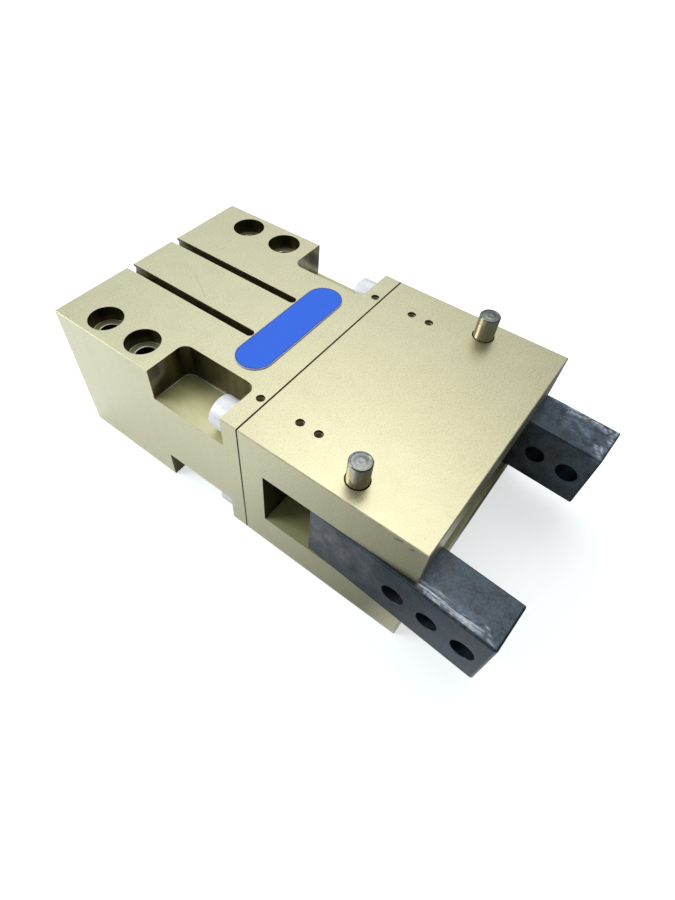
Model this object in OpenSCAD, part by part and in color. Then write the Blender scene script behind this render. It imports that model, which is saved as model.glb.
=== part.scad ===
// Angular gripper with two jaws, driven by an air cylinder.
// A piston pushes a crosshead, whose two pins move the forked levers of the jaws. The jaws turn on
// steel pins in a clevis housing.
// Millimetres. X runs across the jaws, Y forward along the piston and Z up. The origin is the centre
// of the rear face.

/* [Blocks] */
// Width of both blocks, across the jaws
block_w = 80; // [79:0.5:90]
// Height of both blocks
block_h = 50; // [49:0.5:60]
// Length of the cylinder body, from the rear face to the seam
cylinder_l = 74.6; // [73:0.2:90]
// Length of the jaw housing, from the seam to its front edge
housing_l = 56.3; // [55:0.1:70]
// Chamfer on the outer edges of both blocks
block_edge = 0.25; // [0.1:0.05:0.5]

/* [Corner pockets] */
// Width of the land between the pockets
pocket_land_w = 50.6; // [48:0.2:52]
// Length of a pocket along the body
pocket_l = 27.5; // [20:0.5:28]
// Height of the rail between an upper and a lower pocket
rail_h = 27.4; // [24:0.2:28]
// Radius of the pockets' inner corners
pocket_r = 3; // [1:0.5:3.5]
// Thickness of the flange in front of the pockets
flange_t = 5.8; // [5:0.1:7]

/* [Fixing holes] */
// Distance between the fixing holes across the body
fixing_pitch_x = 65; // [63:0.5:66]
// Distance between the fixing holes along the body
fixing_pitch_y = 16.3; // [14:0.1:17]
// Distance from the rear face to the first fixing holes
fixing_inset = 15.05; // [13:0.05:16]
// Diameter of the fixing holes, clearance for M6
fixing_hole_d = 6.6; // [5.5:0.1:7]
// Diameter of their counterbores
fixing_head_d = 11; // [10:0.1:11.6]
// Depth of their counterbores
fixing_head_depth = 5; // [3:0.5:8]

/* [Sensor slots] */
// Distance between the two sensor slots
sensor_pitch = 20; // [14:0.5:24]
// Width of a slot at the top face
sensor_slot_w = 2.8; // [2.4:0.1:3.2]
// Diameter of the round channel under the slot
sensor_channel_d = 4; // [3.8:0.1:4.2]
// Depth of the channel's axis below the top face
sensor_channel_depth = 2.3; // [2.2:0.1:2.4]

/* [Rear face] */
// Distance between the two air ports
port_pitch = 58; // [56:0.5:60]
// Diameter of an air port, tapping size of G1/8
port_d = 8.7; // [8:0.1:9]
// Depth of an air port
port_depth = 8.5; // [7:0.5:9]
// Diameter of the air passages
passage_d = 3.2; // [2.4:0.2:3.4]
// Metal between the air passages and the fixing holes
passage_wall = 0.9; // [0.7:0.1:1.1]
// Distance between the rear threads across the body
rear_thread_pitch_x = 44; // [38:1:46]
// Distance between the rear threads upward
rear_thread_pitch_z = 37; // [34:0.5:38]
// Diameter of the rear threads, tapping size of M6
rear_thread_d = 5; // [4.2:0.1:5.2]
// Depth of the rear threads
rear_thread_depth = 12; // [9:0.5:13]
// Distance between the two centring holes of the rear face
centring_pitch = 37; // [30:0.5:38]
// Diameter of the centring holes
centring_d = 5; // [4:0.5:6]
// Depth of the centring holes
centring_depth = 6; // [4:0.5:10]

/* [Cylinder] */
// Diameter of the cylinder's bore
bore_d = 40; // [36:0.5:41]
// Thickness of the wall behind the bore
rear_wall = 18; // [15:0.5:19]
// Length of the piston
piston_l = 26.6; // [25.6:0.2:28]
// Space left at each end of the stroke
stroke_gap = 0.3; // [0.2:0.05:0.5]
// Distance of the outer piston grooves from the piston's faces
piston_seal_inset = 3.5; // [3:0.1:3.9]
// Width of a piston seal
piston_seal_w = 3; // [2.6:0.1:3.2]
// Depth of the piston seals' grooves
piston_seal_depth = 2.5; // [2:0.1:3]
// Width of the magnet ring
magnet_w = 4; // [3:0.2:4.4]
// Depth of the magnet ring's groove
magnet_depth = 3; // [2:0.2:3.6]
// Width of the piston's guide ring
guide_ring_w = 5; // [4:0.2:5.4]
// Depth of the guide ring's groove
guide_ring_depth = 1.5; // [1:0.1:2]

/* [Piston rod] */
// Diameter of the piston rod
rod_d = 16; // [14.6:0.2:16.4]
// Diameter of the rod's neck in the piston
neck_d = 10; // [9:0.2:11]
// Width across the flats of the nut on the neck
neck_nut_flats = 17; // [15.6:0.2:17.6]
// Height of that nut
neck_nut_h = 8; // [6:0.5:9]
// Diameter of the recess for the nut
neck_nut_recess_d = 23; // [21:0.5:25]
// Depth of the nut and the rod's end inside the piston's rear face
neck_nut_sunk = 1; // [0.5:0.1:1.5]
// Thickness of the ring that seals the neck
neck_seal_t = 1.6; // [1.2:0.1:2]
// Diameter of the rod's spigot in the crosshead
spigot_d = 10; // [9.4:0.2:12]
// Length of the spigot
spigot_l = 3; // [2:0.5:4]

/* [Rod gland] */
// Shoulder that the gland rests on, round the bore
gland_shoulder = 1; // [0.8:0.1:1.2]
// Length of the gland's pilot in the jaw housing
gland_pilot = 3.5; // [2:0.5:4.5]
// Thickness of the gland's lip behind the rod seal
gland_lip = 2; // [1.5:0.1:3]
// Thickness of the rod seal
rod_seal_t = 4; // [3:0.2:4.4]
// Thickness of the wiper
wiper_t = 4; // [3:0.2:4.4]
// Outer diameter of the rod seal and the wiper
rod_seal_d = 22; // [21:0.5:24]
// Outer diameter of the guide bush
guide_bush_d = 20; // [19:0.2:20.6]
// Thickness of the gland's outer sealing ring
gland_ring_t = 2.4; // [2:0.1:2.8]

/* [Housing clevis] */
// Height of the slot that the jaws move in
jaw_slot_h = 22; // [21:0.2:23]
// Thickness of the web behind the slot
web_t = 8.15; // [8:0.05:10]
// Diameter of the rod's hole in the web
web_hole_d = 17; // [16.8:0.1:20]
// Distance between the two jaw pivots
pivot_pitch = 66; // [64:0.5:66]
// Distance from the pivots to the front edge
pivot_inset = 23.6; // [22:0.1:25]
// Outer diameter of the pivot bushes
pivot_bush_d = 8; // [7.4:0.2:10]
// Length of the pivot bushes
pivot_bush_l = 12; // [9:0.5:12.5]
// Diameter of the hole round the pin in the outer face
pivot_hole_d = 6.6; // [6.4:0.1:7]

/* [Jaws] */
// Width of a jaw
jaw_w = 14.4; // [13:0.2:15]
// Reach of a jaw from its pivot to its tip
jaw_reach = 46.1; // [43:0.1:60]
// Length of a jaw behind its pivot
jaw_rear = 8.4; // [8.2:0.1:9.5]
// Chamfer on the edges of a jaw
jaw_edge = 0.5; // [0.2:0.1:0.8]
// Play between the jaws and the housing, above and below
jaw_side_gap = 0.2; // [0.1:0.05:0.4]
// Angle by which both jaws lean to the right at rest
jaw_lean = 3.3; // [2:0.1:3.6]
// Distance from the tip to the first finger hole
finger_hole_inset = 5.9; // [5:0.1:8]
// Distance between the finger holes
finger_hole_pitch = 10.2; // [9:0.1:11]
// Diameter of the outer finger holes, clearance for M6
finger_hole_d = 6.6; // [5.5:0.1:7]
// Diameter of the middle finger hole, for a dowel
finger_dowel_d = 6; // [5:0.1:6.6]
// Angle by which the jaws open from rest
open_angle = 15; // [10:0.5:15]
// Angle by which the jaws close from rest
close_angle = 4; // [2:0.5:4]

/* [Pivot pins] */
// Diameter of the pivot pins
pivot_pin_d = 6; // [5.6:0.1:6]
// Height that the pins stand out above the top face
pin_stand_out = 7.5; // [4:0.5:12]
// Depth of the pins' lower ends inside the bottom face
pin_sunk = 0.5; // [0.3:0.1:1]
// Chamfer on the ends of the pins
pin_edge = 0.6; // [0.2:0.1:1]
// Diameter of the grub screws that lock the pins
lock_screw_d = 4; // [3:0.5:5]
// Length of the grub screws
lock_screw_l = 5; // [4:0.1:5]

/* [Crosshead] */
// Diameter of the drive pins
drive_pin_d = 8; // [7:0.2:8]
// Metal left round a drive pin in the crosshead
drive_pin_wall = 2; // [1.6:0.1:2.4]
// Height of the crosshead
crosshead_h = 10; // [9:0.2:10.4]
// Play between the crosshead and the fork plates, above and below
crosshead_gap = 0.3; // [0.2:0.05:0.5]
// Gap between the crosshead's end and the jaw
crosshead_end_gap = 0.8; // [0.5:0.1:1.5]
// Gap between the drive pins' ends and the housing
drive_pin_end_gap = 0.5; // [0.3:0.1:1]
// Play of a drive pin in its fork, beyond the jaws' lean
fork_play = 0.2; // [0.15:0.05:0.3]
// Metal between the fork's slot and the jaw's inner face
fork_heel = 1.3; // [1:0.1:1.4]
// Length of the fork beyond the drive pin
fork_margin = 1.2; // [1:0.1:2]
// Diameter of the crosshead screw
head_screw_d = 8; // [6:0.5:8]
// Length of the crosshead screw's shank
head_screw_l = 20; // [16:1:24]
// Diameter of the crosshead screw's head
head_screw_head_d = 13; // [11:0.5:14]

/* [Screws, dowels and label] */
// Diameter of the housing screws
housing_screw_d = 6; // [5:0.5:6]
// Length of the housing screws' shanks
housing_screw_l = 20; // [16:1:24]
// Diameter of the housing screws' heads
housing_head_d = 10; // [9:0.5:10.5]
// Height of the housing screws' heads
housing_head_h = 6; // [5:0.5:8]
// Metal beside the screw heads at the outer face
head_side_margin = 1; // [0.8:0.1:1.4]
// Gap between the screw heads and the pocket floor
head_floor_gap = 0.3; // [0.2:0.1:0.6]
// Distance between the two locating dowels
dowel_pitch = 66; // [60:0.5:68]
// Diameter of the locating dowels
dowel_d = 5; // [4:0.5:6]
// Length of the locating dowels
dowel_l = 14; // [10:1:15]
// Distance between the small threads across both blocks
cover_pitch_x = 55.6; // [54.6:0.2:56]
// Diameter of the small threads, tapping size of M3
cover_hole_d = 2.5; // [2:0.1:3]
// Depth of the small threads
cover_hole_depth = 6; // [4:0.5:8]
// Distance from the seam back to the flange's small threads
flange_cover_inset = 2.2; // [2:0.1:3]
// Distance from the seam to the housing's first small threads
cover_inset = 11.2; // [10:0.1:13]
// Distance between the small threads along the housing
cover_pitch_y = 6; // [5:0.5:8]
// Length of the label
label_l = 44.4; // [36:0.2:46]
// Width of the label
label_w = 12; // [9:0.5:14]
// Thickness of the label
label_t = 0.3; // [0.1:0.1:0.5]
// Distance from the seam back to the label's centre
label_inset = 14.1; // [11:0.1:15]
// Land between the label and the sensor slots' ends
label_land = 0.3; // [0.2:0.1:2]

/* [Fits] */
// Running clearance of a shaft in its bush, on the radius
running_gap = 0.03; // [0.02:0.01:0.06]
// Clearance of a pressed or seated round piece, on the radius
seat_gap = 0.01; // [0.01:0.01:0.03]
// Clearance between the piston and its bore, on the radius
piston_gap = 0.1; // [0.08:0.01:0.2]
// Clearance round a shank or rod in a plain hole, on the radius
free_gap = 0.3; // [0.2:0.05:0.4]

/* [Hidden] */
$fn = 48;
over = 1; // how far a cut reaches past the surface that it opens
sides = [-1, 1];
ring_groove_share = 1.3; // width of a sealing ring's groove, as a share of the ring's thickness
small_edge_share = 0.06; // chamfer of heads, dowels and pins, as a share of their diameter
piston_edge = 1;

// Jaws and drive
pivot_x = pivot_pitch / 2;
pivot_y = cylinder_l + housing_l - pivot_inset;
crosshead_w = drive_pin_d + 2 * drive_pin_wall;
lever_r = jaw_w / 2 + crosshead_end_gap + crosshead_w / 2;
drive_pin_x = pivot_x - lever_r;
drive_pin_l = jaw_slot_h - 2 * drive_pin_end_gap;
jaw_h = jaw_slot_h - 2 * jaw_side_gap;
fork_from = crosshead_h / 2 + crosshead_gap;
fork_t = jaw_h / 2 - fork_from;
fork_reach = lever_r + drive_pin_d / 2 + fork_margin;
fork_edge = 1; // chamfer on the fork's corners
fork_slot_w = drive_pin_d + 2 * (lever_r * tan(jaw_lean) + fork_play);
fork_slot_x = jaw_w / 2 + fork_heel + fork_slot_w / 2;
travel_open = lever_r * tan(open_angle);
travel_close = travel_open * close_angle / open_angle;

// Cylinder, from the rear
piston_y = rear_wall + stroke_gap + travel_close;
piston_front = piston_y + piston_l;
chamber_end = piston_front + travel_open + stroke_gap;
gland_d = bore_d + 2 * gland_shoulder;
gland_end = cylinder_l + gland_pilot;
rod_seal_y = chamber_end + gland_lip;
guide_bush_y = rod_seal_y + rod_seal_t + gland_lip;
wiper_y = gland_end - wiper_t;
gland_ring_w = gland_ring_t * ring_groove_share;
gland_ring_y = (chamber_end + cylinder_l) / 2;
piston_groove_d = bore_d - 2 * (piston_gap + piston_seal_depth);
rear_seal_y = piston_y + piston_seal_inset;
front_seal_y = piston_front - piston_seal_inset - piston_seal_w;
piston_land = (front_seal_y - rear_seal_y - piston_seal_w - guide_ring_w - magnet_w) / 3;
guide_ring_y = rear_seal_y + piston_seal_w + piston_land;
magnet_y = front_seal_y - piston_land - magnet_w;
nut_recess_l = neck_nut_h + neck_nut_sunk;
nut_seat_y = piston_y + nut_recess_l;
neck_seal_y = (nut_seat_y + piston_front) / 2;
crosshead_back = pivot_y - crosshead_w / 2;
crosshead_front = pivot_y + crosshead_w / 2;

// Body
passage_x = fixing_pitch_x / 2 - fixing_hole_d / 2 - passage_wall - passage_d / 2;
pocket_front = cylinder_l - flange_t;
pocket_x = pocket_land_w / 2;
head_x = block_w / 2 - head_side_margin - housing_head_d / 2;
head_z = rail_h / 2 + head_floor_gap + housing_head_d / 2;
label_y = cylinder_l - label_inset;
sensor_end = label_y - label_w / 2 - label_land;
pin_bottom = -block_h / 2 + pin_sunk;
pin_l = block_h + pin_stand_out - pin_sunk;

// A centred rectangle with its corners cut off at 45 degrees.
module cut_rectangle(x, y, cut) {
    polygon([
        for (corner = [[1, 1], [-1, 1], [-1, -1], [1, -1]])
            for (end = corner.x * corner.y > 0 ? [[0, 1], [1, 0]] : [[1, 0], [0, 1]])
                [corner.x * (x / 2 - cut * end.x), corner.y * (y / 2 - cut * end.y)]
    ]);
}

// A centred block with a chamfer on every edge.
module chamfered_block(x, y, z, cut) {
    intersection() {
        linear_extrude(z, center = true) cut_rectangle(x, y, cut);
        rotate([90, 0, 0]) linear_extrude(y, center = true) cut_rectangle(x, z, cut);
        rotate([90, 0, 90]) linear_extrude(x, center = true) cut_rectangle(y, z, cut);
    }
}

// A round bar from 0 up to l, with a chamfer at both ends.
module bar(d, l, cut) {
    rotate_extrude()
        polygon([[0, 0], [d / 2 - cut, 0], [d / 2, cut], [d / 2, l - cut], [d / 2 - cut, l], [0, l]]);
}

// A plain ring of height l.
module ring(inner_d, outer_d, l) {
    rotate_extrude()
        translate([inner_d / 2, 0])
            square([(outer_d - inner_d) / 2, l]);
}

// A lip seal of height l, with its lips at the bottom.
module lip_ring(inner_d, outer_d, l) {
    inner = inner_d / 2;
    outer = outer_d / 2;
    lip = (outer - inner) / 4;
    rotate_extrude()
        polygon([
            [inner, 0], [inner + lip, 0], [(inner + outer) / 2, l / 2], [outer - lip, 0],
            [outer, 0], [outer, l], [inner, l]
        ]);
}

// A round sealing ring that fills a groove between two diameters.
module o_ring(inner_d, outer_d) {
    section = (outer_d - inner_d) / 2 - 2 * seat_gap;
    rotate_extrude()
        translate([(inner_d + outer_d) / 4, 0])
            circle(d = section);
}

// A pill outline of length x and width y, centred.
module pill(x, y) {
    square([x - y, y], center = true);
    for (side = sides)
        translate([side * (x - y) / 2, 0])
            circle(d = y);
}

// A socket head screw whose head's underside is at 0. The shank points up.
module socket_screw(shank_d, shank_l, head_d, head_h, flats) {
    difference() {
        union() {
            translate([0, 0, -head_h]) bar(head_d, head_h, head_d * small_edge_share);
            cylinder(d = shank_d, h = shank_l);
        }
        translate([0, 0, -head_h - over])
            cylinder(d = flats / cos(30), h = head_h / 2 + over, $fn = 6);
    }
}

// Turns what is drawn upward so that it runs forward from y.
module forward(y) {
    translate([0, y, 0])
        rotate([-90, 0, 0])
            children();
}

// The same, but pointing back from y.
module backward(y) {
    translate([0, y, 0])
        rotate([90, 0, 0])
            children();
}

// Places a copy at each housing screw.
module at_housing_screws() {
    for (x = sides, z = sides)
        translate([x * head_x, 0, z * head_z])
            children();
}

// Places a jaw's piece. In its own axes the jaw points along Y from its pivot, with X outward.
module at_pivot(side) {
    translate([side * pivot_x, pivot_y, 0])
        rotate([0, 0, -jaw_lean])
            mirror([side < 0 ? 1 : 0, 0, 0])
                children();
}

// The space that one corner pocket takes from the body, with round inner corners.
module pocket() {
    wide = block_w / 2 - pocket_x + over;
    translate([pocket_x, pocket_front - pocket_l, rail_h / 2])
        linear_extrude(block_h) {
            translate([pocket_r, 0]) square([wide - pocket_r, pocket_l]);
            translate([0, pocket_r]) square([wide, pocket_l - 2 * pocket_r]);
            for (y = [pocket_r, pocket_l - pocket_r])
                translate([pocket_r, y]) circle(r = pocket_r);
        }
}

// A sensor slot: a narrow mouth over a round channel, open at the rear.
module sensor_slot() {
    tip_r = sensor_slot_w / 2;
    translate([0, 0, block_h / 2 - sensor_channel_depth])
        linear_extrude(sensor_channel_depth + over) {
            translate([-tip_r, -over]) square([sensor_slot_w, sensor_end - tip_r + over]);
            translate([0, sensor_end - tip_r]) circle(r = tip_r);
        }
    translate([0, 0, block_h / 2 - sensor_channel_depth])
        forward(-over)
            cylinder(d = sensor_channel_d, h = sensor_end - tip_r + over);
}

// An air port, its passage along the body and the cross hole that opens into the bore at y.
module air_port(side, y) {
    translate([side * port_pitch / 2, 0, 0])
        forward(-over) cylinder(d = port_d, h = port_depth + over);
    translate([side * passage_x, 0, 0])
        forward(port_depth - over) cylinder(d = passage_d, h = y + passage_d / 2 - port_depth + over);
    translate([side * passage_x, y, 0])
        rotate([0, -side * 90, 0])
            cylinder(d = passage_d, h = passage_x - bore_d / 2 + over);
}

// A row of small threads in the top face, one at each side.
module cover_holes(y) {
    for (side = sides)
        translate([side * cover_pitch_x / 2, y, block_h / 2 - cover_hole_depth])
            cylinder(d = cover_hole_d, h = cover_hole_depth + over);
}

// The holes for the locating dowels, through the seam.
module dowel_holes() {
    for (side = sides)
        translate([side * dowel_pitch / 2, 0, 0])
            forward(cylinder_l - dowel_l / 2) cylinder(d = dowel_d + 2 * seat_gap, h = dowel_l);
}

module cylinder_body() {
    color("#BDB583")
        difference() {
            translate([0, cylinder_l / 2, 0])
                chamfered_block(block_w, cylinder_l, block_h, block_edge);
            forward(rear_wall) cylinder(d = bore_d, h = cylinder_l);
            forward(chamber_end) cylinder(d = gland_d + 2 * seat_gap, h = cylinder_l);
            for (x = [0, 1], z = [0, 1])
                mirror([x, 0, 0]) mirror([0, 0, z]) pocket();
            for (side = sides)
                translate([side * sensor_pitch / 2, 0, 0]) sensor_slot();
            for (side = sides, y = [fixing_inset, fixing_inset + fixing_pitch_y])
                translate([side * fixing_pitch_x / 2, y, 0]) {
                    cylinder(d = fixing_hole_d, h = block_h + over, center = true);
                    translate([0, 0, block_h / 2 - fixing_head_depth])
                        cylinder(d = fixing_head_d, h = fixing_head_depth + over);
                }
            air_port(1, rear_wall + passage_d / 2);
            air_port(-1, chamber_end - passage_d / 2);
            for (x = sides, z = sides)
                translate([x * rear_thread_pitch_x / 2, 0, z * rear_thread_pitch_z / 2])
                    forward(-over) cylinder(d = rear_thread_d, h = rear_thread_depth + over);
            for (z = sides)
                translate([0, 0, z * centring_pitch / 2])
                    forward(-over) cylinder(d = centring_d, h = centring_depth + over);
            at_housing_screws()
                forward(pocket_front - over)
                    cylinder(d = housing_screw_d + 2 * free_gap, h = flange_t + 2 * over);
            dowel_holes();
            cover_holes(cylinder_l - flange_cover_inset);
        }
}

module jaw_housing() {
    slot_y = cylinder_l + web_t;
    bush_top = jaw_slot_h / 2 + pivot_bush_l;
    color("#BDB583")
        difference() {
            translate([0, cylinder_l + housing_l / 2, 0])
                chamfered_block(block_w, housing_l, block_h, block_edge);
            translate([-block_w / 2 - over, slot_y, -jaw_slot_h / 2])
                cube([block_w + 2 * over, housing_l, jaw_slot_h]);
            forward(cylinder_l - over) cylinder(d = gland_d + 2 * seat_gap, h = gland_pilot + over);
            forward(cylinder_l) cylinder(d = web_hole_d, h = web_t + over);
            for (side = sides)
                translate([side * pivot_x, pivot_y, 0]) {
                    cylinder(d = pivot_bush_d + 2 * seat_gap, h = 2 * bush_top, center = true);
                    cylinder(d = pivot_hole_d, h = block_h + over, center = true);
                }
            at_housing_screws()
                forward(cylinder_l - over)
                    cylinder(d = housing_screw_d + 2 * seat_gap, h = housing_screw_l - flange_t + 2 * over);
            dowel_holes();
            cover_holes(cylinder_l + cover_inset);
            cover_holes(cylinder_l + cover_inset + cover_pitch_y);
        }
}

module housing_screws() {
    socket_flats = housing_screw_d * 5 / 6;
    color("gainsboro")
        at_housing_screws()
            forward(pocket_front)
                socket_screw(housing_screw_d, housing_screw_l, housing_head_d, housing_head_h, socket_flats);
}

module locating_dowels() {
    color("silver")
        for (side = sides)
            translate([side * dowel_pitch / 2, 0, 0])
                forward(cylinder_l - dowel_l / 2) bar(dowel_d, dowel_l, dowel_d * small_edge_share);
}

module rod_gland() {
    gland_l = gland_end - chamber_end;
    ring_groove_d = gland_d - 2 * gland_ring_t;
    color("lightgray")
        difference() {
            forward(chamber_end) cylinder(d = gland_d, h = gland_l);
            forward(chamber_end - over) cylinder(d = rod_d + 2 * free_gap, h = gland_l + 2 * over);
            forward(rod_seal_y) cylinder(d = rod_seal_d + 2 * seat_gap, h = rod_seal_t);
            forward(guide_bush_y) cylinder(d = guide_bush_d + 2 * seat_gap, h = gland_l);
            forward(wiper_y) cylinder(d = rod_seal_d + 2 * seat_gap, h = wiper_t + over);
            forward(gland_ring_y - gland_ring_w / 2) ring(ring_groove_d, gland_d + over, gland_ring_w);
        }
}

module gland_o_ring() {
    color("dimgray")
        forward(gland_ring_y) o_ring(gland_d - 2 * gland_ring_t, gland_d);
}

module rod_guide_bush() {
    color("darkgoldenrod")
        forward(guide_bush_y)
            ring(rod_d + 2 * running_gap, guide_bush_d, wiper_y - guide_bush_y);
}

module rod_seal() {
    color("dimgray")
        forward(rod_seal_y) lip_ring(rod_d + 2 * running_gap, rod_seal_d, rod_seal_t);
}

module rod_wiper() {
    color("dimgray")
        backward(gland_end) lip_ring(rod_d + 2 * running_gap, rod_seal_d, wiper_t);
}

module pivot_bushes() {
    color("darkgoldenrod")
        for (side = sides, z = [0, 1])
            translate([side * pivot_x, pivot_y, 0])
                mirror([0, 0, z])
                    translate([0, 0, jaw_slot_h / 2])
                        ring(pivot_pin_d + 2 * running_gap, pivot_bush_d, pivot_bush_l);
}

module label_plate() {
    color("royalblue")
        translate([0, label_y, block_h / 2])
            linear_extrude(label_t) pill(label_l, label_w);
}

module piston() {
    piston_d = bore_d - 2 * piston_gap;
    neck_groove_d = neck_d + 2 * neck_seal_t;
    neck_groove_w = neck_seal_t * ring_groove_share;
    color("silver")
        difference() {
            forward(piston_y) bar(piston_d, piston_l, piston_edge);
            for (y = [rear_seal_y, front_seal_y])
                forward(y) ring(piston_groove_d, bore_d + over, piston_seal_w);
            forward(guide_ring_y) ring(piston_d - 2 * guide_ring_depth, bore_d + over, guide_ring_w);
            forward(magnet_y) ring(piston_d - 2 * magnet_depth, bore_d + over, magnet_w);
            forward(piston_y - over) cylinder(d = neck_d + 2 * seat_gap, h = piston_l + 2 * over);
            forward(piston_y - over) cylinder(d = neck_nut_recess_d, h = nut_recess_l + over);
            forward(neck_seal_y - neck_groove_w / 2) cylinder(d = neck_groove_d, h = neck_groove_w);
        }
}

module piston_rod() {
    thread_l = head_screw_l - crosshead_w + spigot_l;
    color("gainsboro")
        difference() {
            union() {
                forward(piston_y + neck_nut_sunk) cylinder(d = neck_d, h = piston_l - neck_nut_sunk + over);
                forward(piston_front) cylinder(d = rod_d, h = crosshead_back - piston_front);
                forward(crosshead_back) cylinder(d = spigot_d, h = spigot_l);
            }
            backward(crosshead_back + spigot_l + over)
                cylinder(d = head_screw_d + 2 * seat_gap, h = thread_l + 2 * over);
        }
}

module piston_seals() {
    color("dimgray") {
        forward(rear_seal_y)
            lip_ring(piston_groove_d + 2 * seat_gap, bore_d - 2 * running_gap, piston_seal_w);
        backward(front_seal_y + piston_seal_w)
            lip_ring(piston_groove_d + 2 * seat_gap, bore_d - 2 * running_gap, piston_seal_w);
    }
}

module piston_guide_ring() {
    inner_d = bore_d - 2 * (piston_gap + guide_ring_depth);
    color("ivory")
        forward(guide_ring_y) ring(inner_d + 2 * seat_gap, bore_d - 2 * running_gap, guide_ring_w);
}

module piston_magnet() {
    inner_d = bore_d - 2 * (piston_gap + magnet_depth);
    color("gray")
        forward(magnet_y) ring(inner_d + 2 * seat_gap, bore_d - 2 * piston_gap, magnet_w);
}

module piston_nut() {
    color("silver")
        backward(nut_seat_y)
            difference() {
                cylinder(d = neck_nut_flats / cos(30), h = neck_nut_h, $fn = 6);
                translate([0, 0, -over]) cylinder(d = neck_d + 2 * seat_gap, h = neck_nut_h + 2 * over);
            }
}

module neck_o_ring() {
    color("dimgray")
        forward(neck_seal_y) o_ring(neck_d, neck_d + 2 * neck_seal_t);
}

module crosshead() {
    color("slategray")
        difference() {
            translate([0, pivot_y, 0])
                linear_extrude(crosshead_h, center = true)
                    pill(2 * drive_pin_x + crosshead_w, crosshead_w);
            for (side = sides)
                translate([side * drive_pin_x, pivot_y, 0])
                    cylinder(d = drive_pin_d + 2 * seat_gap, h = crosshead_h + over, center = true);
            forward(crosshead_back - over) cylinder(d = spigot_d + 2 * seat_gap, h = spigot_l + over);
            forward(crosshead_back) cylinder(d = head_screw_d + free_gap, h = crosshead_w + over);
        }
}

module crosshead_screw() {
    color("dimgray")
        backward(crosshead_front)
            socket_screw(head_screw_d, head_screw_l, head_screw_head_d, head_screw_d, head_screw_d * 0.75);
}

module drive_pins() {
    color("silver")
        for (side = sides)
            translate([side * drive_pin_x, pivot_y, -drive_pin_l / 2])
                bar(drive_pin_d, drive_pin_l, drive_pin_d * small_edge_share);
}

// One jaw in its own axes, with the two fork plates of its lever.
module jaw() {
    difference() {
        union() {
            translate([0, (jaw_reach - jaw_rear) / 2, 0])
                chamfered_block(jaw_w, jaw_reach + jaw_rear, jaw_h, jaw_edge);
            for (z = [0, 1])
                mirror([0, 0, z])
                    translate([-fork_reach / 2, 0, fork_from])
                        linear_extrude(fork_t) cut_rectangle(fork_reach, 2 * jaw_rear, fork_edge);
        }
        translate([0, 0, -block_h / 2])
            linear_extrude(block_h) {
                translate([-fork_slot_x, 0]) circle(d = fork_slot_w);
                translate([-fork_reach - over, -fork_slot_w / 2])
                    square([fork_reach + over - fork_slot_x, fork_slot_w]);
            }
        cylinder(d = pivot_pin_d + 2 * seat_gap, h = block_h, center = true);
        forward(-jaw_rear - over) cylinder(d = lock_screw_d + 2 * seat_gap, h = jaw_rear + over);
        for (hole = [0 : 2])
            translate([0, jaw_reach - finger_hole_inset - hole * finger_hole_pitch, 0])
                rotate([0, 90, 0])
                    cylinder(d = hole == 1 ? finger_dowel_d : finger_hole_d, h = jaw_w + over, center = true);
    }
}

module pivot_pin() {
    translate([0, 0, pin_bottom]) bar(pivot_pin_d, pin_l, pin_edge);
}

// The grub screw in the jaw's rear face, whose flat tip bears on the pivot pin.
module lock_screw() {
    backward(-pivot_pin_d / 2 - seat_gap)
        difference() {
            bar(lock_screw_d, lock_screw_l, lock_screw_d * small_edge_share);
            translate([0, 0, lock_screw_l / 2])
                cylinder(d = lock_screw_d / 2 / cos(30), h = lock_screw_l, $fn = 6);
        }
}

module right_jaw() {
    color("darkslategray") at_pivot(1) jaw();
}

module right_pivot_pin() {
    color("silver") at_pivot(1) pivot_pin();
}

module right_lock_screw() {
    color("dimgray") at_pivot(1) lock_screw();
}

module left_jaw() {
    color("darkslategray") at_pivot(-1) jaw();
}

module left_pivot_pin() {
    color("silver") at_pivot(-1) pivot_pin();
}

module left_lock_screw() {
    color("dimgray") at_pivot(-1) lock_screw();
}

cylinder_body();
jaw_housing();
housing_screws();
locating_dowels();
rod_gland();
gland_o_ring();
rod_guide_bush();
rod_seal();
rod_wiper();
pivot_bushes();
label_plate();
piston();
piston_rod();
piston_seals();
piston_guide_ring();
piston_magnet();
piston_nut();
neck_o_ring();
crosshead();
crosshead_screw();
drive_pins();
right_jaw();
right_pivot_pin();
right_lock_screw();
left_jaw();
left_pivot_pin();
left_lock_screw();
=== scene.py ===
import bmesh
import bpy
import math
from mathutils import Matrix, Vector


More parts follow.
